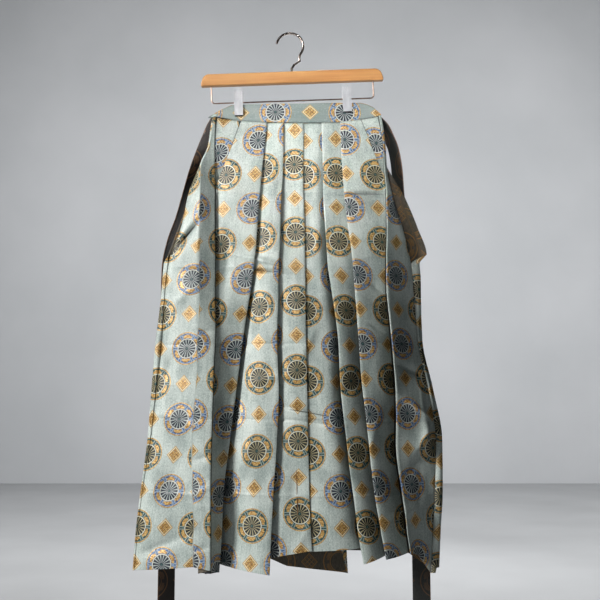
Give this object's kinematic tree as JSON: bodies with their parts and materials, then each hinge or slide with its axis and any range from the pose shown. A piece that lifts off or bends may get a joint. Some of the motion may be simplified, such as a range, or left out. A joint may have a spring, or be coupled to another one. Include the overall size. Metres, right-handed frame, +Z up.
{
  "type": "hakama trousers on a clip hanger",
  "caption": "Pleated wrap trousers of patterned brocade with long waist ties, hung by the waistband from a wooden hanger with two sprung clips.",
  "frame": {"origin": "inside of the hook's crown, where it hangs on a rail", "axes": "+Z up, the garment's front faces -Y, +X to the right as seen from the front"},
  "size_m": [0.6102, 0.1096, 1.565],
  "materials": {
    "brocade": "satin brocade, silvery green with roundels and lozenges",
    "tie": "the same brocade, mostly its dark reverse",
    "wood": "clear varnish",
    "steel": "polished plating",
    "rubber": "matt"
  },
  "bodies": {
    "root": {"back_left": "brocade", "back_right": "brocade", "clip_left_jaw_back": "steel", "clip_left_jaw_front": "steel", "clip_left_pad_back": "rubber", "clip_left_pad_front": "rubber", "clip_left_spring": "steel", "clip_right_jaw_back": "steel", "clip_right_jaw_front": "steel", "clip_right_pad_back": "rubber", "clip_right_pad_front": "rubber", "clip_right_spring": "steel", "crotch_gusset": "brocade", "front_left": "brocade", "front_right": "brocade", "hanger_bar": "wood", "hook": "steel", "tie_back_left": "tie", "tie_back_right": "tie", "tie_front_left": "tie", "tie_front_right": "tie", "trapeze_wire": "steel", "waistband_back": "brocade", "waistband_front": "brocade"}
  },
  "joints": []
}
